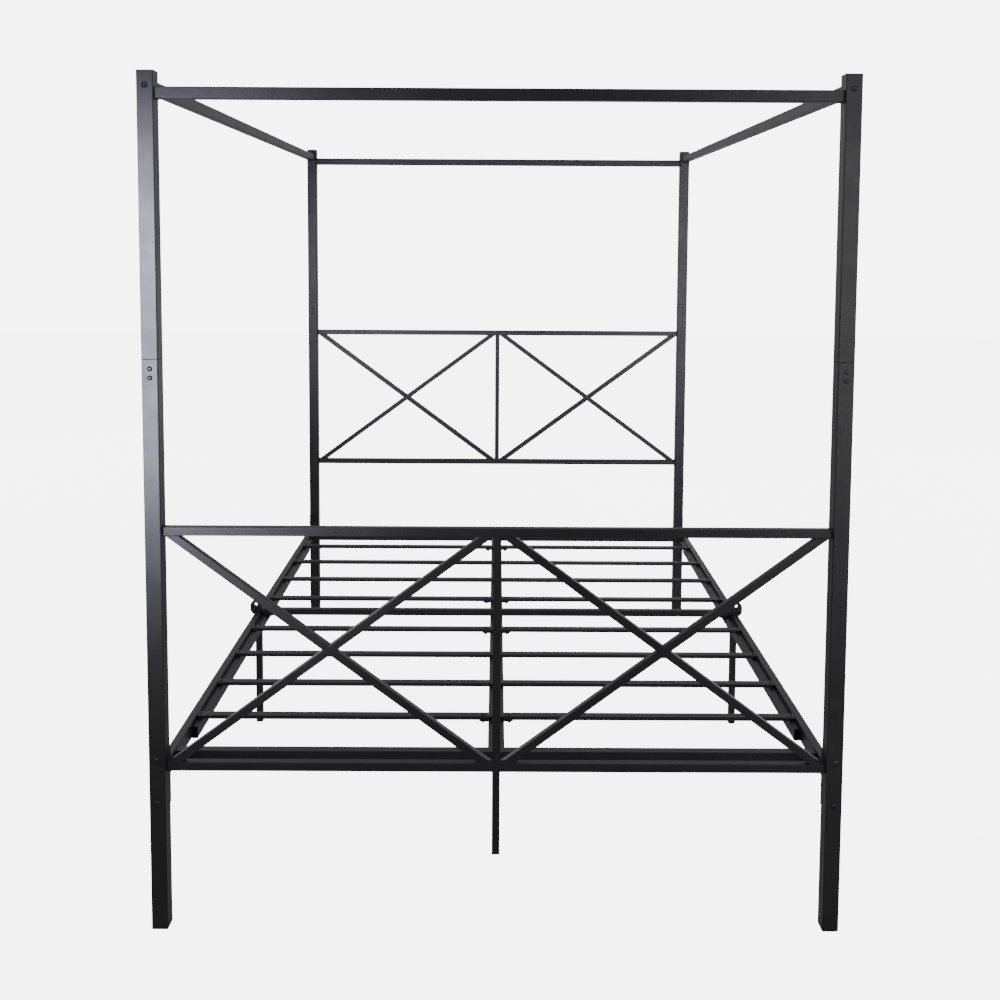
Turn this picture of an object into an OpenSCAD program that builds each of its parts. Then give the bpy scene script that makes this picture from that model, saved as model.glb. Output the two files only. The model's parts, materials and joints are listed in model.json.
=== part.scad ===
// Four poster canopy bed: knock-down steel tube frame with a slatted base.
// Z is up, the origin is on the floor at the middle, and the foot end faces -Y.

/* [Overall] */
// Width over the outer faces of the posts
bed_w = 1562; // [1300:1:1880]
// Length over the outer faces of the posts
bed_l = 2102; // [1750:1:2525]
// Height of the posts with glide and cap
post_h = 1928; // [1600:1:2320]
// Height of the slat tops above the floor
deck_h = 365; // [300:1:440]

/* [Posts] */
// Width of the square post tube
post_size = 37; // [30:0.5:45]
// Wall of the post tube
post_wall = 1.5; // [1.2:0.1:2.4]
// Outside corner radius of the post tube
post_corner = 2.5; // [2:0.1:4]
// Height of the joint between lower and upper post
seam_z = 1303; // [1280:1:1480]
// Length of joining tube on each side of the post joint
spigot_half = 70; // [50:1:95]
// Wall of the joining tube
spigot_wall = 2; // [1.5:0.1:3]
// First joint screw below the post joint
screw_drop = 21; // [15:1:30]
// Distance between the two joint screws
screw_pitch = 20; // [15:1:30]
// Thickness of the flange under each post
glide_t = 3; // [2:0.5:8]
// Thickness of the flange on top of each post
cap_t = 2; // [1.5:0.5:6]
// Depth that glides, caps and feet reach into their tubes
stopper_l = 14; // [10:1:16]

/* [Canopy] */
// Width of the square tube across each end of the canopy
canopy_end_size = 26; // [20:1:30]
// Width of the square tube along each side of the canopy
canopy_side_size = 25; // [16:1:26]
// Centre of the canopy end tubes below the post top
canopy_end_drop = 47.5; // [44:0.5:60]
// Centre of the canopy side tubes below the post top
canopy_side_drop = 32.5; // [28:0.5:34]
// Length of the sleeve inside each canopy side joint
joiner_l = 120; // [60:1:200]

/* [Headboard and footboard] */
// Width of the square tube of the panel rails
panel_rail = 20; // [16:1:25]
// Width of the square tube of the panel bars
panel_bar = 18; // [12:1:19]
// Height between the two rail centres of a panel
panel_pitch = 540; // [450:1:640]
// Centre of the footboard's lower rail above the slat tops
foot_panel_up = 13; // [11:1:15]
// Centre of the headboard's lower rail above the slat tops
head_panel_up = 275; // [150:1:290]
// Gap between the corner of a slanting bar and the end of its opening
brace_gap = 0.5; // [0.2:0.1:20]

/* [Side rails] */
// Width of the side rail tube
rail_w = 20; // [16:1:25]
// Height of the side rail tube
rail_h = 40; // [35:1:48]
// Outer face of the side rail in from the outer face of the post
rail_set = 3.5; // [1:0.5:5]
// Width of the ledge tube that carries the slats
ledge_w = 15; // [12:1:20]
// Ledge end in from the outer faces of the posts
ledge_set = 255; // [200:1:300]
// Free gap between the two ledges at the middle of the bed
ledge_gap = 12; // [8:1:16]
// Thickness of the welded plates
plate_t = 3; // [2:0.5:4]
// Height of the plate at each post
end_plate_h = 132; // [125:1:150]
// Upper plate bolt above the slat tops
bolt_up = 32; // [30:1:36]
// Distance between the two plate bolts
bolt_pitch = 101; // [96:1:108]
// Width of the ear on each middle joint plate
ear_w = 37.5; // [34:0.5:42]
// Straight height of the ear between its two round ends
ear_straight = 10; // [6:1:14]
// Radius of the open hole in the ear
ear_hole_r = 5; // [3:0.5:6]

/* [Base] */
// Width of the slat tube
slat_w = 25; // [16:1:30]
// Thickness of the slat tube
slat_t = 10; // [8:1:14]
// Slats on each side of the middle cross bar
slats_each_side = 4; // [3:1:5]
// Centre of the first slat from the middle of the bed
slat_first = 139; // [100:1:160]
// Gap from the last slat to the end cross rail, centre to centre
slat_last = 178; // [140:1:200]
// Width of the square tube of the end cross rails
cross_rail = 25; // [20:1:28]
// End cross rail centre in from the outer faces of the posts
cross_set = 131; // [110:1:160]
// Top of the end cross rails below the slat tops
cross_drop = 4; // [0:1:8]
// Width of the square middle cross bar
mid_bar = 20; // [16:1:25]
// Width of the centre rail
centre_w = 40; // [34:1:50]
// Height of the centre rail
centre_h = 20; // [18:1:25]
// Slat bolt from the middle of the bed
slat_bolt_x = 33; // [31:1:36]
// Width of the lug that carries a slat bolt
lug_w = 26; // [22:1:30]
// Width of the square leg tube
leg_size = 20; // [18:1:25]
// Length of the plate on top of each leg
leg_plate_l = 60; // [50:1:80]
// Leg plate screw from the middle of the leg
leg_screw_y = 21; // [18:1:23]
// Thickness of the foot under each leg
foot_t = 5; // [3:1:10]
// Size of the curved gusset between side leg and cross bar
gusset = 45; // [40:1:60]
// Thickness of the gusset
gusset_t = 4; // [3:0.5:6]

/* [Tube walls and plugs] */
// Wall of every tube except the posts
tube_wall = 1.2; // [1:0.1:1.5]
// Outside corner radius of every tube except the posts
tube_corner = 1.8; // [1.6:0.1:2.5]
// Thickness of the black collar at each rail end
collar_t = 4; // [3:0.5:6]
// Depth that an end plug reaches into its rail
plug_l = 18; // [12:1:25]
// Gap round a part that slides into a tube
slide_gap = 0.2; // [0.1:0.05:0.3]
// Gap between a slat end and the side rail
slat_gap = 1; // [0.5:0.5:2]

/* [Fasteners] */
// Shaft radius of the rail bolts
bolt_r = 3; // [2.5:0.5:3.5]
// Head radius of the rail bolts
bolt_head_r = 6.5; // [6:0.5:8]
// Head height of the rail bolts
bolt_head_h = 3.3; // [3:0.1:4]
// Shaft radius of the side rail bolts
plate_bolt_r = 4; // [3.5:0.5:4.5]
// Head radius of the side rail bolts
plate_head_r = 8; // [7:0.5:9]
// Head height of the side rail bolts
plate_head_h = 4.4; // [4:0.1:5]
// Shaft radius of the post joint screws
joint_screw_r = 2.5; // [2:0.5:3]
// Head radius of the post joint screws
joint_head_r = 5.5; // [5:0.5:6.5]
// Shaft radius of the slat and leg screws
deck_screw_r = 2; // [1.5:0.5:2.5]
// Head radius of the slat and leg screws
deck_head_r = 4; // [3.5:0.5:5]
// Head height of the joint, slat and leg screws
small_head_h = 2.6; // [2.2:0.1:3]
// Length of the slat and leg screws
deck_screw_l = 14; // [13:1:16]
// Height of the nuts
nut_h = 5; // [4:0.5:6.5]
// Gap round a bolt in a clear hole
hole_gap = 0.25; // [0.1:0.05:0.5]
// Gap between a nut and its bolt, and between the two joint plates
thread_gap = 0.05; // [0.02:0.01:0.1]

/* [View] */
// Sub-part to build, or all

/* [Hidden] */
$fn = 48;
SIDES = [-1, 1];

post_x = (bed_w - post_size) / 2;
post_y = (bed_l - post_size) / 2;
post_inner = post_size - 2 * post_wall;
inner_w = bed_w - 2 * post_size;
inner_l = bed_l - 2 * post_size;

rail_x = bed_w / 2 - rail_set - rail_w / 2;
rail_inner_x = rail_x - rail_w / 2;
rail_low = deck_h - rail_h;
ledge_x = rail_inner_x - ledge_w / 2;
slat_low = deck_h - slat_t;
ledge_h = slat_low - rail_low;
ledge_end = bed_l / 2 - ledge_set;
ledge_start = ledge_gap / 2;
slat_l = 2 * (rail_inner_x - slat_gap);

cross_y = bed_l / 2 - cross_set;
cross_z = deck_h - cross_drop - cross_rail / 2;
slat_pitch = (cross_y - slat_first - slat_last) / (slats_each_side - 1);
slat_end = slat_first + (slats_each_side - 1) * slat_pitch;

centre_low = slat_low - centre_h;
centre_end = cross_y - cross_rail / 2;
lug_l = slat_bolt_x + bolt_head_r + 3 - centre_w / 2;

foot_panel_z = deck_h + foot_panel_up;
head_panel_z = deck_h + head_panel_up;
panel_clear = panel_pitch - panel_rail;

// A slanting bar's half width, measured along the rail, depends on its slope
brace_span = inner_w / 2 - collar_t - panel_bar / 2;
function half_cut(run) = panel_bar / 2 * sqrt(panel_clear * panel_clear + run * run) / panel_clear;
brace_guess = brace_span - 2 * half_cut(brace_span) - 2 * brace_gap;
brace_set = half_cut(brace_guess) + brace_gap;

canopy_end_z = post_h - canopy_end_drop;
canopy_side_z = post_h - canopy_side_drop;

plate_bolt_z = [deck_h + bolt_up, deck_h + bolt_up - bolt_pitch];
end_plate_z = (plate_bolt_z[0] + plate_bolt_z[1]) / 2;
plate_nut_h = 6.5;
plate_bolt_l = post_size + plate_t + plate_nut_h - 0.5;
rail_bolt_l = post_size + collar_t + plug_l - 4;

ear_r = ear_w / 2;
ear_x = rail_inner_x + ear_r;
ear_low_z = deck_h - 11 + ear_r;
ear_top_z = ear_low_z + ear_straight;
ear_bolt_x = rail_x + rail_w / 2 + bolt_head_r + 1;
ear_bolt_z = ear_low_z - 2;
ear_hole_z = ear_top_z + 5;

black = [0.09, 0.09, 0.1];
dark = [0.13, 0.13, 0.15];
plug_grey = [0.04, 0.04, 0.04];
bolt_grey = [0.3, 0.3, 0.32];

// Profiles and tubes

module rounded(a, b, r) {
    square([a - 2 * r, b], center = true);
    square([a, b - 2 * r], center = true);
    for (x = SIDES, y = SIDES)
        translate([x * (a / 2 - r), y * (b / 2 - r)])
            circle(r = r);
}

module tube(l, a, b, wall, r) {
    linear_extrude(height = l)
        difference() {
            rounded(a, b, r);
            rounded(a - 2 * wall, b - 2 * wall, r - wall);
        }
}

module tube_x(l, w, h) {
    rotate([0, 90, 0])
        translate([0, 0, -l / 2])
            tube(l, h, w, tube_wall, tube_corner);
}

module tube_y(l, w, h) {
    rotate([-90, 0, 0])
        translate([0, 0, -l / 2])
            tube(l, w, h, tube_wall, tube_corner);
}

module hole_x(r, l) {
    rotate([0, 90, 0])
        cylinder(r = r, h = l, center = true);
}

module hole_y(r, l) {
    rotate([90, 0, 0])
        cylinder(r = r, h = l, center = true);
}

// Turn a part that points up so that it points out of the bed
module facing_x(side) {
    rotate([0, side * 90, 0])
        children();
}

module facing_y(side) {
    rotate([-side * 90, 0, 0])
        children();
}

// Button head fastener, head above zero, shaft below, hexagon key
module button(shaft_r, shaft_l, head_r, head_h) {
    rim = head_h * 0.25;
    rise = head_h - rim;
    dome = (head_r * head_r + rise * rise) / (2 * rise);
    key_r = shaft_r * 0.75;
    key_deep = head_h * 0.6;
    difference() {
        union() {
            translate([0, 0, -shaft_l])
                cylinder(r = shaft_r, h = shaft_l + rim);
            intersection() {
                cylinder(r = head_r, h = head_h);
                translate([0, 0, head_h - dome])
                    sphere(r = dome);
            }
        }
        translate([0, 0, head_h - key_deep])
            cylinder(r = key_r, h = head_h, $fn = 6);
    }
}

// Plastic end plug: collar first, then the body that slides into the tube
module end_plug(size) {
    body = size - 2 * tube_wall - 2 * slide_gap;
    difference() {
        union() {
            linear_extrude(height = collar_t)
                rounded(size, size, tube_corner);
            linear_extrude(height = collar_t + plug_l)
                rounded(body, body, tube_corner - tube_wall);
        }
        translate([0, 0, -1])
            cylinder(r = bolt_r, h = collar_t + plug_l + 2);
    }
}

// Plastic stopper: flange from zero to t, body above it
module stopper(size, wall, corner, t) {
    body = size - 2 * wall - 2 * slide_gap;
    linear_extrude(height = t)
        rounded(size, size, corner);
    linear_extrude(height = t + stopper_l)
        rounded(body, body, corner - wall);
}

// Posts

module lower_post(sx, sy) {
    panel_z = sy < 0 ? foot_panel_z : head_panel_z;
    color(black)
        translate([sx * post_x, sy * post_y, 0])
            difference() {
                translate([0, 0, glide_t])
                    tube(seam_z - glide_t, post_size, post_size, post_wall, post_corner);
                for (z = [panel_z, panel_z + panel_pitch])
                    translate([0, 0, z])
                        hole_x(bolt_r + hole_gap, post_size + 2);
                for (z = plate_bolt_z)
                    translate([0, 0, z])
                        hole_y(plate_bolt_r + hole_gap, post_size + 2);
                for (i = [0, 1])
                    translate([0, -post_size / 2, seam_z - screw_drop - i * screw_pitch])
                        hole_y(joint_screw_r + hole_gap, post_size / 2);
            }
}

module upper_post(sx, sy) {
    color(black)
        translate([sx * post_x, sy * post_y, 0])
            difference() {
                translate([0, 0, seam_z])
                    tube(post_h - cap_t - seam_z, post_size, post_size, post_wall, post_corner);
                translate([0, 0, canopy_end_z])
                    hole_x(bolt_r + hole_gap, post_size + 2);
                translate([0, 0, canopy_side_z])
                    hole_y(bolt_r + hole_gap, post_size + 2);
            }
}

module post_spigots() {
    slim = post_inner - 2 * slide_gap;
    bore = post_inner - 2 * spigot_wall;
    inner_corner = post_corner - post_wall;
    color(dark)
        for (sx = SIDES, sy = SIDES) {
            panel_z = sy < 0 ? foot_panel_z : head_panel_z;
            translate([sx * post_x, sy * post_y, seam_z])
                difference() {
                    union() {
                        linear_extrude(height = spigot_half)
                            rounded(post_inner, post_inner, inner_corner);
                        translate([0, 0, -spigot_half])
                            linear_extrude(height = spigot_half + 1)
                                rounded(slim, slim, inner_corner);
                    }
                    translate([0, 0, -spigot_half - 1])
                        linear_extrude(height = 2 * spigot_half + 2)
                            square([bore, bore], center = true);
                    for (i = [0, 1])
                        translate([0, -post_size / 2, -screw_drop - i * screw_pitch])
                            hole_y(joint_screw_r, post_size / 2);
                    for (z = [panel_z, panel_z + panel_pitch])
                        translate([0, 0, z - seam_z])
                            hole_x(bolt_r + hole_gap, post_size);
                }
        }
}

module post_caps() {
    color(black)
        for (sx = SIDES, sy = SIDES)
            translate([sx * post_x, sy * post_y, post_h])
                rotate([180, 0, 0])
                    stopper(post_size, post_wall, post_corner, cap_t);
}

module post_glides() {
    color(plug_grey)
        for (sx = SIDES, sy = SIDES)
            translate([sx * post_x, sy * post_y, 0])
                stopper(post_size, post_wall, post_corner, glide_t);
}

// Canopy

module canopy_end_rail(sy) {
    color(black)
        translate([0, sy * post_y, canopy_end_z])
            tube_x(inner_w - 2 * collar_t, canopy_end_size, canopy_end_size);
}

module canopy_side_rail(sx, sy) {
    l = inner_l / 2 - collar_t;
    color(black)
        translate([sx * post_x, sy * l / 2, canopy_side_z])
            tube_y(l, canopy_side_size, canopy_side_size);
}

module canopy_joiners() {
    tight = canopy_side_size - 2 * tube_wall;
    slim = tight - 2 * slide_gap;
    color(dark)
        for (sx = SIDES)
            translate([sx * post_x, 0, canopy_side_z])
                difference() {
                    union() {
                        translate([-tight / 2, -joiner_l / 2, -tight / 2])
                            cube([tight, joiner_l / 2, tight]);
                        translate([-slim / 2, -1, -slim / 2])
                            cube([slim, joiner_l / 2 + 1, slim]);
                    }
                    for (x = SIDES, z = SIDES)
                        translate([x * tight / 2, 0, z * tight / 2])
                            cube([3, joiner_l + 2, 3], center = true);
                    hole_y(tight / 2 - 2, joiner_l + 2);
                }
}

module canopy_plugs() {
    color(plug_grey)
        for (sx = SIDES, sy = SIDES) {
            translate([sx * inner_w / 2, sy * post_y, canopy_end_z])
                facing_x(-sx)
                    end_plug(canopy_end_size);
            translate([sx * post_x, sy * inner_l / 2, canopy_side_z])
                facing_y(-sy)
                    end_plug(canopy_side_size);
        }
}

// Headboard and footboard

module panel_rail_at(sy, z) {
    color(black)
        translate([0, sy * post_y, z])
            tube_x(inner_w - 2 * collar_t, panel_rail, panel_rail);
}

module panel_centre_bar(sy, z) {
    color(black)
        translate([0, sy * post_y, z + panel_rail / 2])
            tube(panel_clear, panel_bar, panel_bar, tube_wall, tube_corner);
}

// One slanting bar in the panel's own plane, lower end at x1 and upper end at x2
module slant(x1, x2, solid) {
    run = x2 - x1;
    long = sqrt(run * run + panel_clear * panel_clear) + 4 * panel_bar;
    intersection() {
        translate([(x1 + x2) / 2, 0, panel_clear / 2])
            rotate([0, atan2(run, panel_clear), 0])
                translate([0, 0, -long / 2])
                    if (solid)
                        linear_extrude(height = long)
                            square([panel_bar, panel_bar + 2], center = true);
                    else
                        tube(long, panel_bar, panel_bar, tube_wall, tube_corner);
        translate([-bed_w / 2, -panel_bar, 0])
            cube([bed_w, 2 * panel_bar, panel_clear]);
    }
}

module braces(sy, z, long) {
    near = panel_bar / 2 + brace_set;
    far = inner_w / 2 - collar_t - brace_set;
    color(black)
        translate([0, sy * post_y, z + panel_rail / 2])
            for (sx = SIDES)
                if (long)
                    slant(sx * far, sx * near, false);
                else
                    difference() {
                        slant(sx * near, sx * far, false);
                        slant(sx * far, sx * near, true);
                    }
}

module panel_plugs() {
    color(plug_grey)
        for (sx = SIDES, sy = SIDES, i = [0, 1]) {
            z = (sy < 0 ? foot_panel_z : head_panel_z) + i * panel_pitch;
            translate([sx * inner_w / 2, sy * post_y, z])
                facing_x(-sx)
                    end_plug(panel_rail);
        }
}

// Side rails

module side_rail(sx, sy) {
    start = plate_t + thread_gap;
    l = inner_l / 2 - plate_t - start;
    color(black)
        difference() {
            translate([sx * rail_x, sy * (start + l / 2), rail_low + rail_h / 2])
                tube_y(l, rail_w, rail_h);
            translate([sx * rail_x, sy * cross_y, cross_z])
                hole_x(bolt_r + hole_gap, rail_w + 2);
            translate([sx * rail_x, sy * leg_screw_y, rail_low])
                cylinder(r = deck_screw_r, h = 10, center = true);
        }
}

module slat_ledges() {
    l = ledge_end - ledge_start;
    color(black)
        for (sx = SIDES, sy = SIDES)
            difference() {
                translate([sx * ledge_x, sy * (ledge_start + l / 2), rail_low + ledge_h / 2])
                    tube_y(l, ledge_w, ledge_h);
                for (i = [0 : slats_each_side - 1])
                    translate([sx * ledge_x, sy * (slat_first + i * slat_pitch), slat_low])
                        cylinder(r = deck_screw_r, h = 10, center = true);
            }
}

module post_plates() {
    color(black)
        for (sx = SIDES, sy = SIDES)
            translate([sx * post_x, sy * inner_l / 2, 0])
                facing_y(-sy)
                    difference() {
                        union() {
                            translate([-post_size / 2, sy * end_plate_z - end_plate_h / 2, 0])
                                cube([post_size, end_plate_h, plate_t]);
                            for (z = plate_bolt_z)
                                translate([0, sy * z, plate_t - 0.5])
                                    cylinder(r = 7.5, h = plate_nut_h + 0.5, $fn = 6);
                        }
                        for (z = plate_bolt_z)
                            translate([0, sy * z, -1])
                                cylinder(r = plate_bolt_r, h = plate_t + plate_nut_h + 2);
                    }
}

// Plate on the middle end of a side rail, with a round ear outside and above it
module joint_plate() {
    difference() {
        union() {
            translate([rail_inner_x, rail_low])
                square([rail_w, rail_h]);
            translate([ear_x - ear_r, ear_low_z])
                square([ear_w, ear_straight]);
            for (z = [ear_low_z, ear_top_z])
                translate([ear_x, z])
                    circle(r = ear_r);
        }
        translate([ear_x, ear_hole_z])
            circle(r = ear_hole_r);
        translate([ear_bolt_x, ear_bolt_z])
            circle(r = bolt_r + hole_gap);
    }
}

module joint_plates() {
    color(black)
        for (sx = SIDES, y = [-thread_gap, plate_t + thread_gap])
            translate([0, y, 0])
                rotate([90, 0, 0])
                    linear_extrude(height = plate_t)
                        if (sx < 0)
                            mirror([1, 0])
                                joint_plate();
                        else
                            joint_plate();
}

// Base

module end_cross_rail(sy) {
    color(black)
        translate([0, sy * cross_y, cross_z])
            difference() {
                union() {
                    tube_x(2 * rail_inner_x, cross_rail, cross_rail);
                    for (sx = SIDES)
                        translate([sx * (rail_inner_x - plate_t / 2), 0, 0])
                            cube([plate_t, cross_rail - tube_corner, cross_rail - tube_corner],
                                center = true);
                }
                hole_x(bolt_r, 2 * bed_w);
            }
}

module middle_cross_bar() {
    color(black)
        translate([0, 0, slat_low + mid_bar / 2])
            tube_x(slat_l, mid_bar, mid_bar);
}

module centre_rail(sy) {
    color(black)
        difference() {
            translate([0, sy * centre_end / 2, centre_low + centre_h / 2])
                tube_y(centre_end, centre_w, centre_h);
            for (y = [leg_screw_y, slat_end - leg_screw_y, slat_end + leg_screw_y])
                translate([0, sy * y, centre_low])
                    cylinder(r = deck_screw_r, h = 10, center = true);
        }
}

module slat_lugs() {
    color(black)
        for (sx = SIDES, sy = SIDES, y = [slat_first, slat_end])
            difference() {
                translate([sx * (centre_w + lug_l) / 2, sy * y, slat_low - plate_t / 2])
                    cube([lug_l, lug_w, plate_t], center = true);
                translate([sx * slat_bolt_x, sy * y, slat_low])
                    cylinder(r = bolt_r + hole_gap, h = 20, center = true);
            }
}

// Slats count from the foot end
module slat(n) {
    row = n <= slats_each_side ? slats_each_side - n : n - slats_each_side - 1;
    sy = n <= slats_each_side ? -1 : 1;
    bolted = row == 0 || row == slats_each_side - 1;
    color(black)
        translate([0, sy * (slat_first + row * slat_pitch), slat_low + slat_t / 2])
            difference() {
                tube_x(slat_l, slat_w, slat_t);
                for (sx = SIDES)
                    translate([sx * ledge_x, 0, 0])
                        cylinder(r = deck_screw_r, h = slat_t + 2, center = true);
                if (bolted)
                    for (sx = SIDES)
                        translate([sx * slat_bolt_x, 0, 0])
                            cylinder(r = bolt_r + hole_gap, h = slat_t + 2, center = true);
            }
}

// Leg tube with its top plate under height z
module leg(z, plate_w) {
    difference() {
        union() {
            translate([0, 0, foot_t])
                tube(z - plate_t - foot_t + 0.5, leg_size, leg_size, tube_wall, tube_corner);
            translate([-plate_w / 2, -leg_plate_l / 2, z - plate_t])
                cube([plate_w, leg_plate_l, plate_t]);
        }
        for (sy = SIDES)
            translate([0, sy * leg_screw_y, z])
                cylinder(r = deck_screw_r + hole_gap, h = 3 * plate_t, center = true);
    }
}

module side_leg(sx) {
    tip = 3;
    color(black) {
        difference() {
            union() {
                translate([sx * rail_x, 0, 0])
                    leg(rail_low, rail_w);
                translate([sx * rail_inner_x, gusset_t / 2, slat_low])
                    rotate([90, 0, 0])
                        linear_extrude(height = gusset_t)
                            difference() {
                                translate([sx < 0 ? 0 : -gusset, -gusset])
                                    square([gusset, gusset]);
                                translate([-sx * gusset, -gusset])
                                    circle(r = gusset - tip);
                            }
                translate([sx * rail_inner_x, 0, slat_low - gusset / 2 - ledge_h / 2])
                    cube([2, gusset_t, gusset - ledge_h], center = true);
            }
            translate([sx * rail_x, 0, foot_t])
                linear_extrude(height = rail_low - plate_t - foot_t)
                    square([leg_size - 2 * tube_wall - 1, leg_size - 2 * tube_wall - 1],
                        center = true);
        }
    }
}

module centre_legs() {
    color(black)
        for (y = [-slat_end, 0, slat_end])
            translate([0, y, 0])
                leg(centre_low, centre_w);
}

module leg_feet() {
    spots = [[-rail_x, 0], [rail_x, 0], [0, -slat_end], [0, 0], [0, slat_end]];
    color(plug_grey)
        for (p = spots)
            translate([p[0], p[1], 0])
                stopper(leg_size, tube_wall, tube_corner, foot_t);
}

// Fasteners

module rail_bolt(l) {
    button(bolt_r, l, bolt_head_r, bolt_head_h);
}

module rail_bolts() {
    color(bolt_grey)
        for (sx = SIDES, sy = SIDES) {
            panel_z = sy < 0 ? foot_panel_z : head_panel_z;
            for (z = [panel_z, panel_z + panel_pitch, canopy_end_z])
                translate([sx * bed_w / 2, sy * post_y, z])
                    facing_x(sx)
                        rail_bolt(rail_bolt_l);
            translate([sx * post_x, sy * bed_l / 2, canopy_side_z])
                facing_y(sy)
                    rail_bolt(rail_bolt_l);
            translate([sx * (rail_x + rail_w / 2), sy * cross_y, cross_z])
                facing_x(sx)
                    rail_bolt(rail_w + plate_t + 2);
        }
}

module post_screws() {
    color(bolt_grey)
        for (sx = SIDES, sy = SIDES, i = [0, 1])
            translate([sx * post_x, sy * post_y - post_size / 2,
                seam_z - screw_drop - i * screw_pitch])
                facing_y(-1)
                    button(joint_screw_r, post_wall + spigot_wall + 4, joint_head_r, small_head_h);
}

module side_rail_bolts() {
    color(bolt_grey)
        for (sx = SIDES) {
            for (sy = SIDES, z = plate_bolt_z)
                translate([sx * post_x, sy * bed_l / 2, z])
                    facing_y(sy)
                        button(plate_bolt_r, plate_bolt_l, plate_head_r, plate_head_h);
            translate([sx * ear_bolt_x, -plate_t - thread_gap, ear_bolt_z])
                facing_y(-1)
                    rail_bolt(2 * plate_t + nut_h);
            translate([sx * ear_bolt_x, plate_t + thread_gap, ear_bolt_z])
                facing_y(1)
                    nut(nut_h);
        }
}

module nut(h) {
    difference() {
        cylinder(r = bolt_r * 1.9, h = h, $fn = 6);
        translate([0, 0, -1])
            cylinder(r = bolt_r + thread_gap, h = h + 2);
    }
}

module slat_bolts() {
    grip = slat_t + plate_t + nut_h;
    color(bolt_grey)
        for (sx = SIDES, sy = SIDES, y = [slat_first, slat_end]) {
            translate([sx * slat_bolt_x, sy * y, deck_h])
                rail_bolt(grip + 3);
            translate([sx * slat_bolt_x, sy * y, deck_h - grip])
                nut(nut_h);
        }
}

module deck_screw() {
    button(deck_screw_r, deck_screw_l, deck_head_r, small_head_h);
}

module deck_screws() {
    color(bolt_grey) {
        for (sx = SIDES, sy = SIDES, i = [0 : slats_each_side - 1])
            translate([sx * ledge_x, sy * (slat_first + i * slat_pitch), deck_h])
                deck_screw();
        for (sx = SIDES, sy = SIDES)
            translate([sx * rail_x, sy * leg_screw_y, rail_low - plate_t])
                rotate([180, 0, 0])
                    deck_screw();
        for (y = [-slat_end, 0, slat_end], sy = SIDES)
            translate([0, y + sy * leg_screw_y, centre_low - plate_t])
                rotate([180, 0, 0])
                    deck_screw();
    }
}

lower_post(-1, -1);  // foot_left_lower_post
lower_post(1, -1);  // foot_right_lower_post
lower_post(-1, 1);  // head_left_lower_post
lower_post(1, 1);  // head_right_lower_post
upper_post(-1, -1);  // foot_left_upper_post
upper_post(1, -1);  // foot_right_upper_post
upper_post(-1, 1);  // head_left_upper_post
upper_post(1, 1);  // head_right_upper_post
post_spigots();
post_caps();
post_glides();
canopy_end_rail(-1);  // canopy_foot_rail
canopy_end_rail(1);  // canopy_head_rail
canopy_side_rail(-1, -1);  // canopy_foot_left_rail
canopy_side_rail(1, -1);  // canopy_foot_right_rail
canopy_side_rail(-1, 1);  // canopy_head_left_rail
canopy_side_rail(1, 1);  // canopy_head_right_rail
canopy_joiners();
canopy_plugs();
panel_plugs();
panel_rail_at(1, head_panel_z + panel_pitch);  // headboard_top_rail
panel_rail_at(1, head_panel_z);  // headboard_bottom_rail
panel_centre_bar(1, head_panel_z);  // headboard_centre_bar
braces(1, head_panel_z, true);  // headboard_long_braces
braces(1, head_panel_z, false);  // headboard_short_braces
panel_rail_at(-1, foot_panel_z + panel_pitch);  // footboard_top_rail
panel_rail_at(-1, foot_panel_z);  // footboard_bottom_rail
panel_centre_bar(-1, foot_panel_z);  // footboard_centre_bar
braces(-1, foot_panel_z, true);  // footboard_long_braces
braces(-1, foot_panel_z, false);  // footboard_short_braces
side_rail(-1, -1);  // foot_left_side_rail
side_rail(1, -1);  // foot_right_side_rail
side_rail(-1, 1);  // head_left_side_rail
side_rail(1, 1);  // head_right_side_rail
slat_ledges();
post_plates();
joint_plates();
end_cross_rail(-1);  // foot_cross_rail
end_cross_rail(1);  // head_cross_rail
middle_cross_bar();
centre_rail(-1);  // foot_centre_rail
centre_rail(1);  // head_centre_rail
slat_lugs();
slat(1);  // slat_1
slat(2);  // slat_2
slat(3);  // slat_3
slat(4);  // slat_4
slat(5);  // slat_5
slat(6);  // slat_6
slat(7);  // slat_7
slat(8);  // slat_8
side_leg(-1);  // left_side_leg
side_leg(1);  // right_side_leg
centre_legs();
leg_feet();
rail_bolts();
post_screws();
side_rail_bolts();
slat_bolts();
deck_screws();
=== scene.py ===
"""Looks of the four poster canopy bed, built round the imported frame."""

import json

import bpy
import numpy as np
from mathutils import Matrix, Vector


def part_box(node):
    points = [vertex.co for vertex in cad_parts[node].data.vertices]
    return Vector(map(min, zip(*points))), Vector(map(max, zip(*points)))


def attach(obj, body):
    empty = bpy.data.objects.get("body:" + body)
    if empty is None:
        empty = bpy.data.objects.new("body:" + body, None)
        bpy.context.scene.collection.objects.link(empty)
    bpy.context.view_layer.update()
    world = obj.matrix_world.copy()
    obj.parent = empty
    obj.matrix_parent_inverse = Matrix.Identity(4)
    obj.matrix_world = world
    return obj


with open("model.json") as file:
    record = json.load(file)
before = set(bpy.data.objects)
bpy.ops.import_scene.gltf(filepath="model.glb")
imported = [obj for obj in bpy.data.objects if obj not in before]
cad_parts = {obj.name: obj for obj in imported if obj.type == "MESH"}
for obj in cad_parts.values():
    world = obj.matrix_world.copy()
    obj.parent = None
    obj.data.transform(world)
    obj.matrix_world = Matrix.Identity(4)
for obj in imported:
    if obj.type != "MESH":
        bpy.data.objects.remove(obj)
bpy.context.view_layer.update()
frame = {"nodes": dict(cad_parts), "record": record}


# Camera

SENSOR_WIDTH_MM = 36.0
VIEW_DEPTH = 100.0


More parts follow.
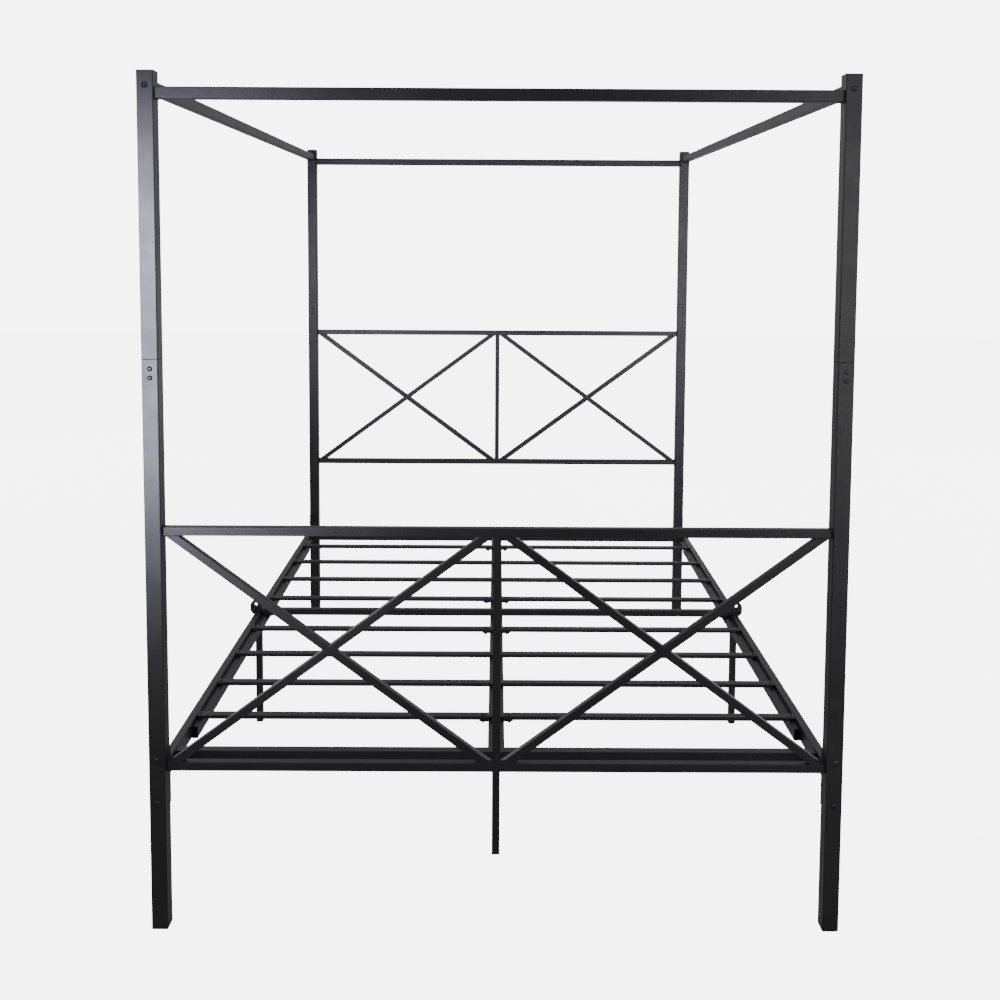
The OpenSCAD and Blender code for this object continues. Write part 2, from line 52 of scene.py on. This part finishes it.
def place_camera(spot, yaw, pitch, roll, lens, shift_x, shift_y):
    """Aim a camera from its turn about Z, its tilt above the horizon and its roll, in radians. The
    lens is in millimetres and the shifts are shares of the frame's width."""
    aim = Vector((np.sin(yaw) * np.cos(pitch), np.cos(yaw) * np.cos(pitch), np.sin(pitch)))
    side = Vector((np.cos(yaw), -np.sin(yaw), 0.0))
    rise = side.cross(aim)
    right = side * np.cos(roll) + rise * np.sin(roll)
    top = rise * np.cos(roll) - side * np.sin(roll)
    turn = Matrix((right, top, -aim)).transposed()
    data = bpy.data.cameras.new("camera")
    data.lens = lens
    data.sensor_width = SENSOR_WIDTH_MM
    data.shift_x = shift_x
    data.shift_y = shift_y
    data.clip_end = VIEW_DEPTH
    camera = bpy.data.objects.new("camera", data)
    camera.matrix_world = Matrix.Translation(spot) @ turn.to_4x4()
    bpy.context.scene.collection.objects.link(camera)
    bpy.context.scene.camera = camera


place_camera(spot=(-0.0046, -3.3631, 1.5707), yaw=0.0025, pitch=-0.0724, roll=0.0053,
             lens=38.285, shift_x=0.0009, shift_y=-0.1845)


# Shared effects

GROUP_INPUT_PLACE = (-900, 0)
GROUP_OUTPUT_PLACE = (700, 0)


def new_group(name, inputs, outputs):
    """Start a shader node group. Inputs are (name, kind, value); outputs are (name, kind)."""
    group = bpy.data.node_groups.new(name, "ShaderNodeTree")
    for label, kind, value in inputs:
        socket = group.interface.new_socket(name=label, in_out="INPUT", socket_type=kind)
        if value is not None:
            socket.default_value = value
    for label, kind in outputs:
        group.interface.new_socket(name=label, in_out="OUTPUT", socket_type=kind)
    ends = [group.nodes.new(kind) for kind in ("NodeGroupInput", "NodeGroupOutput")]
    ends[0].location = GROUP_INPUT_PLACE
    ends[1].location = GROUP_OUTPUT_PLACE
    return group, ends[0].outputs, ends[1].inputs


def add(tree, kind, **settings):
    """Add a node. Settings name either its properties or, with spaces as _, its input sockets."""
    node = tree.nodes.new(kind)
    for key, value in settings.items():
        if hasattr(node, key):
            setattr(node, key, value)
        else:
            node.inputs[key.replace("_", " ")].default_value = value
    return node


def remap(tree, value, span, onto=(0.0, 1.0)):
    """Bring a value from one span onto another, held at both ends."""
    node = add(tree, "ShaderNodeMapRange")
    for key, number in zip(("From Min", "From Max", "To Min", "To Max"), (*span, *onto)):
        node.inputs[key].default_value = number
    tree.links.new(value, node.inputs["Value"])
    return node.outputs["Result"]


def arithmetic(tree, operation, first, second):
    """One math node whose two inputs are sockets or numbers."""
    node = add(tree, "ShaderNodeMath", operation=operation)
    for socket, value in zip(node.inputs, (first, second)):
        if isinstance(value, bpy.types.NodeSocket):
            tree.links.new(value, socket)
        else:
            socket.default_value = value
    return node.outputs["Value"]


def orange_peel_group():
    """Rolling surface of sprayed and baked powder: broad soft dimples with a finer grain on top,
    and a sparse fleck where a grain of powder did not melt."""
    grain_share = 0.3
    fleck_span = (0.72, 0.78)
    group, given, out = new_group(
        "orange_peel",
        [("Position", "NodeSocketVector", None), ("Dimple Size", "NodeSocketFloat", 0.002),
         ("Grain Size", "NodeSocketFloat", 0.0005)],
        [("Height", "NodeSocketFloat"), ("Patch", "NodeSocketFloat"), ("Fleck", "NodeSocketFloat")])
    links = group.links
    dimples = add(group, "ShaderNodeTexNoise", Detail=2.0, Roughness=0.5)
    grain = add(group, "ShaderNodeTexNoise", Detail=1.0, Roughness=0.5)
    patch = add(group, "ShaderNodeTexNoise", Scale=9.0, Detail=3.0, Roughness=0.55)
    links.new(arithmetic(group, "DIVIDE", 1.0, given["Dimple Size"]), dimples.inputs["Scale"])
    links.new(arithmetic(group, "DIVIDE", 1.0, given["Grain Size"]), grain.inputs["Scale"])
    for texture in (dimples, grain, patch):
        links.new(given["Position"], texture.inputs["Vector"])
    fine = arithmetic(group, "MULTIPLY", grain.outputs["Fac"], grain_share)
    links.new(arithmetic(group, "ADD", dimples.outputs["Fac"], fine), out["Height"])
    links.new(patch.outputs["Fac"], out["Patch"])
    links.new(remap(group, grain.outputs["Fac"], fleck_span), out["Fleck"])
    return group


def edge_wear_group():
    """Where a corner is sharp and a patch of noise is high, the coat is rubbed thin. A corner shows
    as the soft normal turning away from the true one."""
    flat_to_corner = (0.98, 0.85)
    patch_span = (0.48, 0.68)
    group, given, out = new_group(
        "edge_wear",
        [("Position", "NodeSocketVector", None), ("Width", "NodeSocketFloat", 0.001),
         ("Amount", "NodeSocketFloat", 0.5), ("Patch Size", "NodeSocketFloat", 0.03)],
        [("Mask", "NodeSocketFloat")])
    links = group.links
    soft = add(group, "ShaderNodeBevel", samples=4)
    links.new(given["Width"], soft.inputs["Radius"])
    true = add(group, "ShaderNodeNewGeometry")
    likeness = add(group, "ShaderNodeVectorMath", operation="DOT_PRODUCT")
    links.new(soft.outputs["Normal"], likeness.inputs[0])
    links.new(true.outputs["Normal"], likeness.inputs[1])
    edge = remap(group, likeness.outputs["Value"], flat_to_corner)
    noise = add(group, "ShaderNodeTexNoise", Detail=4.0, Roughness=0.6)
    links.new(given["Position"], noise.inputs["Vector"])
    links.new(arithmetic(group, "DIVIDE", 1.0, given["Patch Size"]), noise.inputs["Scale"])
    broken = remap(group, noise.outputs["Fac"], patch_span)
    worn = arithmetic(group, "MULTIPLY", edge, broken)
    links.new(arithmetic(group, "MULTIPLY", worn, given["Amount"]), out["Mask"])
    return group


def dust_group():
    """Fine pale dust that lies on faces looking up, thicker in cloudy patches."""
    level_faces = (0.6, 1.0)
    cloud_span, thin_cloud = (0.35, 0.75), 0.35
    speck_span, thin_speck = (0.45, 0.7), 0.4
    group, given, out = new_group(
        "settled_dust",
        [("Position", "NodeSocketVector", None), ("Amount", "NodeSocketFloat", 0.1)],
        [("Mask", "NodeSocketFloat")])
    links = group.links
    split = add(group, "ShaderNodeSeparateXYZ")
    links.new(add(group, "ShaderNodeNewGeometry").outputs["Normal"], split.inputs["Vector"])
    upward = remap(group, split.outputs["Z"], level_faces)
    clouds = add(group, "ShaderNodeTexNoise", Scale=14.0, Detail=5.0, Roughness=0.65)
    specks = add(group, "ShaderNodeTexNoise", Scale=900.0, Detail=1.0, Roughness=0.5)
    for texture in (clouds, specks):
        links.new(given["Position"], texture.inputs["Vector"])
    cloudy = remap(group, clouds.outputs["Fac"], cloud_span, (thin_cloud, 1.0))
    speckled = remap(group, specks.outputs["Fac"], speck_span, (thin_speck, 1.0))
    lying = arithmetic(group, "MULTIPLY", arithmetic(group, "MULTIPLY", upward, cloudy), speckled)
    links.new(arithmetic(group, "MULTIPLY", lying, given["Amount"]), out["Mask"])
    return group


def smudge_group():
    """Faint cloudy marks of handling and thin wiping lines that change only the gloss. Both are
    taken from the middle of their noise, so the gloss goes up as often as down."""
    noise_middle = 0.5
    wipe_share = 0.5
    wipe_stretch = (1.0, 0.05, 0.05)
    group, given, out = new_group(
        "handling_marks",
        [("Position", "NodeSocketVector", None), ("Amount", "NodeSocketFloat", 0.05),
         ("Line Size", "NodeSocketFloat", 0.003)],
        [("Gloss Change", "NodeSocketFloat")])
    links = group.links
    clouds = add(group, "ShaderNodeTexNoise", Scale=22.0, Detail=4.0, Roughness=0.6, Distortion=0.6)
    stretch = add(group, "ShaderNodeVectorMath", operation="MULTIPLY")
    stretch.inputs[1].default_value = wipe_stretch
    wipes = add(group, "ShaderNodeTexNoise", Detail=3.0, Roughness=0.6)
    links.new(given["Position"], clouds.inputs["Vector"])
    links.new(given["Position"], stretch.inputs[0])
    links.new(stretch.outputs["Vector"], wipes.inputs["Vector"])
    links.new(arithmetic(group, "DIVIDE", 1.0, given["Line Size"]), wipes.inputs["Scale"])
    cloud = arithmetic(group, "SUBTRACT", clouds.outputs["Fac"], noise_middle)
    line = arithmetic(group, "SUBTRACT", wipes.outputs["Fac"], noise_middle)
    wipe = arithmetic(group, "MULTIPLY", line, wipe_share)
    both = arithmetic(group, "ADD", cloud, wipe)
    links.new(arithmetic(group, "MULTIPLY", both, given["Amount"]), out["Gloss Change"])
    return group


def joint_line_group():
    """A thin level line where two tube ends meet: a mask that is one at the given height and falls
    to nothing a little beyond half the line's width."""
    soft_edge = (0.35, 0.6)
    group, given, out = new_group(
        "joint_line",
        [("Position", "NodeSocketVector", None), ("Height", "NodeSocketFloat", 1.0),
         ("Width", "NodeSocketFloat", 0.001)],
        [("Mask", "NodeSocketFloat")])
    links = group.links
    split = add(group, "ShaderNodeSeparateXYZ")
    links.new(given["Position"], split.inputs["Vector"])
    off = arithmetic(group, "SUBTRACT", split.outputs["Z"], given["Height"])
    ratio = arithmetic(group, "DIVIDE", arithmetic(group, "ABSOLUTE", off, 0.0), given["Width"])
    links.new(remap(group, ratio, soft_edge, (1.0, 0.0)), out["Mask"])
    return group


GROUPS = {"orange_peel": orange_peel_group(), "edge_wear": edge_wear_group(),
          "settled_dust": dust_group(), "handling_marks": smudge_group(),
          "joint_line": joint_line_group()}


# Materials

MIX_FIRST_COLOUR, MIX_SECOND_COLOUR, MIX_COLOUR_OUT = 6, 7, 2
BLACK_COAT = (0.024, 0.0232, 0.0275)
BLACK_COAT_FLECK = (0.05, 0.05, 0.055)
BLACK_COAT_GLOSS = 0.36
PHOSPHATE = (0.03, 0.03, 0.031)
PHOSPHATE_FLECK = (0.06, 0.06, 0.06)
PHOSPHATE_GLOSS = 0.5
RUBBED_COAT = (0.06, 0.06, 0.064)
DUST = (0.30, 0.29, 0.28)
SEAM_SHADOW = (0.004, 0.004, 0.004)
SEAM_WIDTH = 0.0012
DARK_PLASTIC = (0.014, 0.014, 0.014)
PALER_PLASTIC = (0.022, 0.022, 0.022)
SCUFFED_PLASTIC = (0.05, 0.05, 0.05)
DARK_ZINC = (0.055, 0.055, 0.06)
PALER_ZINC = (0.085, 0.083, 0.085)
BARED_STEEL = (0.35, 0.35, 0.36)


def start_material(name):
    """A material with its tree, its shader and the model's own position in metres."""
    material = bpy.data.materials.new(name)
    material.use_nodes = True
    tree = material.node_tree
    place = add(tree, "ShaderNodeTexCoord").outputs["Object"]
    return material, tree, tree.nodes["Principled BSDF"], place


def effect(tree, name, place, **values):
    """Put a shared effect into a material with its own values."""
    node = tree.nodes.new("ShaderNodeGroup")
    node.node_tree = GROUPS[name]
    tree.links.new(place, node.inputs["Position"])
    for key, value in values.items():
        node.inputs[key.replace("_", " ")].default_value = value
    return node.outputs


def blend(tree, mask, under, over):
    """Mix two colours, sockets or plain values, by a mask."""
    node = add(tree, "ShaderNodeMix", data_type="RGBA")
    tree.links.new(mask, node.inputs["Factor"])
    for index, value in ((MIX_FIRST_COLOUR, under), (MIX_SECOND_COLOUR, over)):
        if isinstance(value, bpy.types.NodeSocket):
            tree.links.new(value, node.inputs[index])
        else:
            node.inputs[index].default_value = (*value, 1.0)
    return node.outputs[MIX_COLOUR_OUT]


def relief(tree, shader, height, strength, distance):
    """Let a height bend the shader's normal. The distance is what a height of one stands for, in
    metres."""
    bump = add(tree, "ShaderNodeBump", Strength=strength, Distance=distance)
    tree.links.new(height, bump.inputs["Height"])
    tree.links.new(bump.outputs["Normal"], shader.inputs["Normal"])


def powder_coat(name, base, fleck, gloss, seam=None):
    """Satin powder coat over steel: near-black colour with a few paler grains, orange peel relief,
    gloss that shifts in patches and under handling marks, thin coat on corners, dust on top.
    A seam adds a painted shadow line for the gap where two tubes meet end to end, with a sunken
    groove in the relief."""
    paler = 1.35
    fleck_strength = 0.5
    colour_span, gloss_span = (0.3, 0.7), (0.25, 0.75)
    glossiest, dullest = gloss - 0.03, gloss + 0.04
    dust_dulling = 2.0
    seam_depth = 12.0
    material, tree, shader, place = start_material(name)
    peel = effect(tree, "orange_peel", place, Dimple_Size=0.0022, Grain_Size=0.0006)
    wear = effect(tree, "edge_wear", place, Width=0.0012, Amount=0.5, Patch_Size=0.02)
    dust = effect(tree, "settled_dust", place, Amount=0.035)
    marks = effect(tree, "handling_marks", place, Amount=0.12, Line_Size=0.004)
    tinted = blend(tree, remap(tree, peel["Patch"], colour_span), base,
                   tuple(paler * part for part in base))
    flecks = remap(tree, peel["Fleck"], (0.0, 1.0), (0.0, fleck_strength))
    grained = blend(tree, flecks, tinted, fleck)
    worn = blend(tree, wear["Mask"], grained, RUBBED_COAT)
    colour = blend(tree, dust["Mask"], worn, DUST)
    varied = remap(tree, peel["Patch"], gloss_span, (glossiest, dullest))
    handled = arithmetic(tree, "ADD", varied, marks["Gloss Change"])
    dulling = arithmetic(tree, "MULTIPLY", dust["Mask"], dust_dulling)
    rough = arithmetic(tree, "ADD", handled, dulling)
    height = peel["Height"]
    if seam is not None:
        line = effect(tree, "joint_line", place, Height=seam, Width=SEAM_WIDTH)
        # Painted shadow of the seam gap: the coat's colour is taken to near black along the line.
        colour = blend(tree, line["Mask"], colour, SEAM_SHADOW)
        rough = arithmetic(tree, "ADD", rough, line["Mask"])
        gap = arithmetic(tree, "MULTIPLY", line["Mask"], seam_depth)
        height = arithmetic(tree, "SUBTRACT", height, gap)
    tree.links.new(colour, shader.inputs["Base Color"])
    tree.links.new(rough, shader.inputs["Roughness"])
    shader.inputs["Specular IOR Level"].default_value = 0.45
    shader.inputs["Specular Tint"].default_value = (0.90, 0.88, 1.0, 1.0)
    relief(tree, shader, height, strength=0.35, distance=0.0001)
    return material


def moulded_plastic(name):
    """Black moulded plastic: fine spark-eroded grain, soft gloss, scuffed edges and some dust."""
    gloss_span, glossiest, dullest = (0.3, 0.7), 0.52, 0.64
    material, tree, shader, place = start_material(name)
    peel = effect(tree, "orange_peel", place, Dimple_Size=0.0009, Grain_Size=0.0003)
    wear = effect(tree, "edge_wear", place, Width=0.0008, Amount=0.35, Patch_Size=0.008)
    dust = effect(tree, "settled_dust", place, Amount=0.03)
    tinted = blend(tree, peel["Patch"], DARK_PLASTIC, PALER_PLASTIC)
    worn = blend(tree, wear["Mask"], tinted, SCUFFED_PLASTIC)
    varied = remap(tree, peel["Patch"], gloss_span, (glossiest, dullest))
    tree.links.new(blend(tree, dust["Mask"], worn, DUST), shader.inputs["Base Color"])
    tree.links.new(varied, shader.inputs["Roughness"])
    shader.inputs["Specular IOR Level"].default_value = 0.35
    relief(tree, shader, peel["Height"], strength=0.6, distance=0.00008)
    return material


def black_zinc(name):
    """Black zinc plating on fasteners: dark metal with a cloudy chromate film, fine rolled and
    tumbled grain, brighter where a driver or a spanner rubbed the edges."""
    film_span = (0.35, 0.65)
    gloss_span, glossiest, dullest = (0.3, 0.7), 0.24, 0.34
    material, tree, shader, place = start_material(name)
    peel = effect(tree, "orange_peel", place, Dimple_Size=0.0012, Grain_Size=0.0002)
    wear = effect(tree, "edge_wear", place, Width=0.0005, Amount=0.8, Patch_Size=0.003)
    marks = effect(tree, "handling_marks", place, Amount=0.2, Line_Size=0.0008)
    filmed = blend(tree, remap(tree, peel["Patch"], film_span), DARK_ZINC, PALER_ZINC)
    colour = blend(tree, wear["Mask"], filmed, BARED_STEEL)
    varied = remap(tree, peel["Patch"], gloss_span, (glossiest, dullest))
    rough = arithmetic(tree, "ADD", varied, marks["Gloss Change"])
    tree.links.new(colour, shader.inputs["Base Color"])
    tree.links.new(rough, shader.inputs["Roughness"])
    shader.inputs["Metallic"].default_value = 1.0
    relief(tree, shader, peel["Height"], strength=0.35, distance=0.00005)
    return material


seam_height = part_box("foot_left_lower_post")[1][2]
FINISHES = {
    "black_powder_coat": powder_coat("satin_black_powder_coat", BLACK_COAT, BLACK_COAT_FLECK,
                                     BLACK_COAT_GLOSS),
    "inner_sleeve_steel": powder_coat("dark_phosphated_steel", PHOSPHATE, PHOSPHATE_FLECK,
                                      PHOSPHATE_GLOSS),
    "black_plastic": moulded_plastic("black_moulded_plastic"),
    "black_bolt_steel": black_zinc("black_zinc_fasteners"),
}
post_coat = powder_coat("satin_black_powder_coat_posts", BLACK_COAT, BLACK_COAT_FLECK,
                        BLACK_COAT_GLOSS, seam=seam_height)

for part in frame["record"]["subparts"]:
    mesh = frame["nodes"][part["node"]].data
    mesh.materials.clear()
    is_post = part["node"].endswith("er_post")
    mesh.materials.append(post_coat if is_post else FINISHES[part["material_slot"]])


# Weld beads

CORNER_POWER = 0.5
PUDDLES, PUDDLE_SWELL = 18.0, 0.16
WANDERS, WANDER_SWELL = 7.0, 0.08
REACH_ROUNDS = 30
SIDES_OF_MIDDLE = (-1.0, 1.0)


def rounded_loop(half_u, half_v, count):
    """Points round a rectangle with soft corners: a fourth-power oval through the half widths,
    u = half_u * sgn(cos t) * |cos t| ** 0.5 and v the same with sin t."""
    turn = np.linspace(0.0, 2.0 * np.pi, count, endpoint=False)
    u = half_u * np.sign(np.cos(turn)) * np.abs(np.cos(turn)) ** CORNER_POWER
    v = half_v * np.sign(np.sin(turn)) * np.abs(np.sin(turn)) ** CORNER_POWER
    return turn, u, v


def bead(centre, across, along, half_u, half_v, size, count=72, sides=8):
    """One closed weld bead: a small round section carried along the loop where a bar meets a face.
    Its radius swells and sinks as the puddles of the weld, size * (1 + 0.16 sin(18 t) +
    0.08 sin(7 t + 1)). The shell's signed volume tells whether its faces point outward."""
    turn, u, v = rounded_loop(half_u, half_v, count)
    path = centre + np.outer(u, across) + np.outer(v, along)
    ahead = np.roll(path, -1, axis=0) - np.roll(path, 1, axis=0)
    ahead /= np.linalg.norm(ahead, axis=1, keepdims=True)
    facing = np.cross(across, along)
    outward = np.cross(ahead, facing)
    around = np.linspace(0.0, 2.0 * np.pi, sides, endpoint=False)
    swell = PUDDLE_SWELL * np.sin(PUDDLES * turn) + WANDER_SWELL * np.sin(WANDERS * turn + 1.0)
    radius = size * (1.0 + swell)
    ring = (outward[:, None, :] * np.cos(around)[None, :, None]
            + facing[None, None, :] * np.sin(around)[None, :, None])
    points = path[:, None, :] + ring * radius[:, None, None]
    i, j = np.meshgrid(np.arange(count), np.arange(sides), indexing="ij")
    i_next, j_next = (i + 1) % count, (j + 1) % sides
    faces = np.stack([i * sides + j, i_next * sides + j, i_next * sides + j_next,
                      i * sides + j_next], axis=-1).reshape(-1, 4)
    points = points.reshape(-1, 3)
    first, second, third = (points[faces[:, corner]] - centre for corner in (0, 1, 2))
    volume = np.einsum("ij,ij->i", first, np.cross(second, third)).sum()
    return points, faces if volume > 0 else faces[:, ::-1]


def weld_piece(name, beads):
    """Join beads into one smooth, powder coated piece that rides the frame."""
    starts = np.cumsum([0] + [len(points) for points, faces in beads[:-1]])
    points = np.concatenate([points for points, faces in beads])
    faces = np.concatenate([faces + start for (_, faces), start in zip(beads, starts)])
    mesh = bpy.data.meshes.new(name)
    mesh.from_pydata(points.tolist(), [], faces.tolist())
    mesh.polygons.foreach_set("use_smooth", [True] * len(mesh.polygons))
    mesh.materials.append(FINISHES["black_powder_coat"])
    piece = bpy.data.objects.new(name, mesh)
    bpy.context.scene.collection.objects.link(piece)
    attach(piece, "root")


X, Y, Z = np.eye(3)


def panel_beads(end, size=0.0012, gap=0.0005):
    """Welds of one headboard or footboard. A slanting bar of half width h that rises by r over a
    run meets a level face over h * length / r to each side of its own middle, so that reach and
    the run between the two middles are worked out together. At the crossing the short bars meet
    the side faces of the long one."""
    low_bar, high_bar = np.array(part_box(end + "_centre_bar"))
    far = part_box(end + "_long_braces")[1][0]
    half = (high_bar[0] - low_bar[0]) / 2
    centre = (low_bar + high_bar) / 2
    rise = high_bar[2] - low_bar[2]
    near = high_bar[0] + gap
    reach = half
    for _ in range(REACH_ROUNDS):
        run = far - near - 2.0 * reach
        reach = half * np.hypot(rise, run) / rise
    beads = []
    for z in (low_bar[2], high_bar[2]):
        beads.append(bead(np.array([centre[0], centre[1], z]), X, Y, half, half, size))
        for x in (far - reach, near + reach):
            for side in SIDES_OF_MIDDLE:
                spot = np.array([side * x, centre[1], z])
                beads.append(bead(spot, X, Y, reach, half, size))
    slope = np.array([run, 0.0, rise]) / np.hypot(run, rise)
    skew = 2.0 * slope[0] * slope[2]
    for side in SIDES_OF_MIDDLE:
        middle = np.array([side * (far + near) / 2, centre[1], centre[2]])
        short_way = slope * (side, 1.0, 1.0)
        long_way = slope * (-side, 1.0, 1.0)
        for face in SIDES_OF_MIDDLE:
            spot = middle + face * short_way * half / skew
            beads.append(bead(spot, long_way, Y, half / skew, half, size))
    return beads


def rail_end_beads(size=0.0018):
    """Welds of the side rails to the plates at their two ends."""
    beads = []
    for rail in ("foot_left", "foot_right", "head_left", "head_right"):
        low, high = np.array(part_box(rail + "_side_rail"))
        centre = (low + high) / 2
        for y in (low[1], high[1]):
            beads.append(bead(np.array([centre[0], y, centre[2]]), X, Z,
                              (high[0] - low[0]) / 2, (high[2] - low[2]) / 2, size))
    return beads


weld_piece("headboard_welds", panel_beads("headboard"))
weld_piece("footboard_welds", panel_beads("footboard"))
weld_piece("side_rail_welds", rail_end_beads())


# Stage

FLOOR_HALF = 14
FLOOR_GREY = (0.50, 0.50, 0.50)
PALER_FLOOR_GREY = (0.54, 0.54, 0.54)
WHITE = (1.0, 1.0, 1.0)
BED_MIDDLE = (0.0, 0.0, 0.9)


def plain_floor(shown):
    """Level pale floor. What the camera sees of it is lifted to an even pale tone; the bed meets
    only the light that the floor throws back."""
    mesh = bpy.data.meshes.new("floor")
    corners = [(x * FLOOR_HALF, y * FLOOR_HALF, 0) for x, y in ((-1, -1), (1, -1), (1, 1), (-1, 1))]
    mesh.from_pydata(corners, [], [(0, 1, 2, 3)])
    floor = bpy.data.objects.new("floor", mesh)
    bpy.context.scene.collection.objects.link(floor)
    material, tree, shader, place = start_material("pale_floor")
    grain = add(tree, "ShaderNodeTexNoise", Scale=3.0, Detail=4.0)
    tree.links.new(place, grain.inputs["Vector"])
    tree.links.new(blend(tree, grain.outputs["Fac"], FLOOR_GREY, PALER_FLOOR_GREY),
                   shader.inputs["Base Color"])
    shader.inputs["Roughness"].default_value = 0.9
    shader.inputs["Specular IOR Level"].default_value = 0.1
    seen = add(tree, "ShaderNodeLightPath").outputs["Is Camera Ray"]
    tree.links.new(arithmetic(tree, "MULTIPLY", seen, shown), shader.inputs["Emission Strength"])
    shader.inputs["Emission Color"].default_value = (*WHITE, 1.0)
    mesh.materials.append(material)


def soft_light(name, spot, target, size, power, spread=180, tint=WHITE):
    """A softbox that the camera does not see. Its size is in metres, its power in watts and its
    spread in degrees: a spread below 180 is a grid on its front."""
    data = bpy.data.lights.new(name, "AREA")
    data.shape = "RECTANGLE"
    data.size, data.size_y = size
    data.energy = power
    data.spread = np.radians(spread)
    data.color = tint
    light = bpy.data.objects.new(name, data)
    light.location = spot
    light.rotation_euler = (Vector(target) - Vector(spot)).to_track_quat("-Z", "Y").to_euler()
    light.visible_camera = False
    bpy.context.scene.collection.objects.link(light)


def studio_world(front, back, shown):
    """Dim even studio that is a little brighter behind the bed than in front of it, before a
    pale seamless backdrop."""
    front_to_back = (-0.5, 0.5)
    world = bpy.data.worlds.new("studio")
    world.use_nodes = True
    tree = world.node_tree
    split = add(tree, "ShaderNodeSeparateXYZ")
    tree.links.new(add(tree, "ShaderNodeTexCoord").outputs["Generated"], split.inputs["Vector"])
    level = remap(tree, split.outputs["Y"], front_to_back, (front, back))
    seen = add(tree, "ShaderNodeLightPath").outputs["Is Camera Ray"]
    unseen = arithmetic(tree, "SUBTRACT", 1.0, seen)
    total = arithmetic(tree, "ADD", arithmetic(tree, "MULTIPLY", level, unseen),
                       arithmetic(tree, "MULTIPLY", seen, shown))
    tree.links.new(total, tree.nodes["Background"].inputs["Strength"])
    tree.nodes["Background"].inputs["Color"].default_value = (*WHITE, 1.0)
    bpy.context.scene.world = world


plain_floor(shown=6.0)
studio_world(front=0.40, back=0.42, shown=6.6)
soft_light("near_left_softbox", spot=(-1.15, -2.2, 1.30), target=(-0.64, -1.05, 1.30),
           size=(0.5, 1.05), power=4.8, spread=44, tint=(0.94, 0.93, 1.0))
soft_light("far_right_softbox", spot=(1.5, -3.9, 1.3), target=(0.98, 1.05, 1.2),
           size=(0.9, 1.8), power=1.8, spread=30)
soft_light("back_card", spot=(0.9, 3.6, 0.7), target=(-0.7, -1.0, 1.2), size=(0.8, 1.0), power=3.0)
soft_light("back_left_softbox", spot=(-4.2, 4.6, 2.4), target=BED_MIDDLE, size=(1.6, 2.2), power=45)
soft_light("back_right_softbox", spot=(4.4, 4.2, 2.2), target=BED_MIDDLE, size=(1.6, 2.2), power=35)
soft_light("side_softbox", spot=(5.4, -0.6, 2.0), target=BED_MIDDLE, size=(1.6, 2.2), power=45)
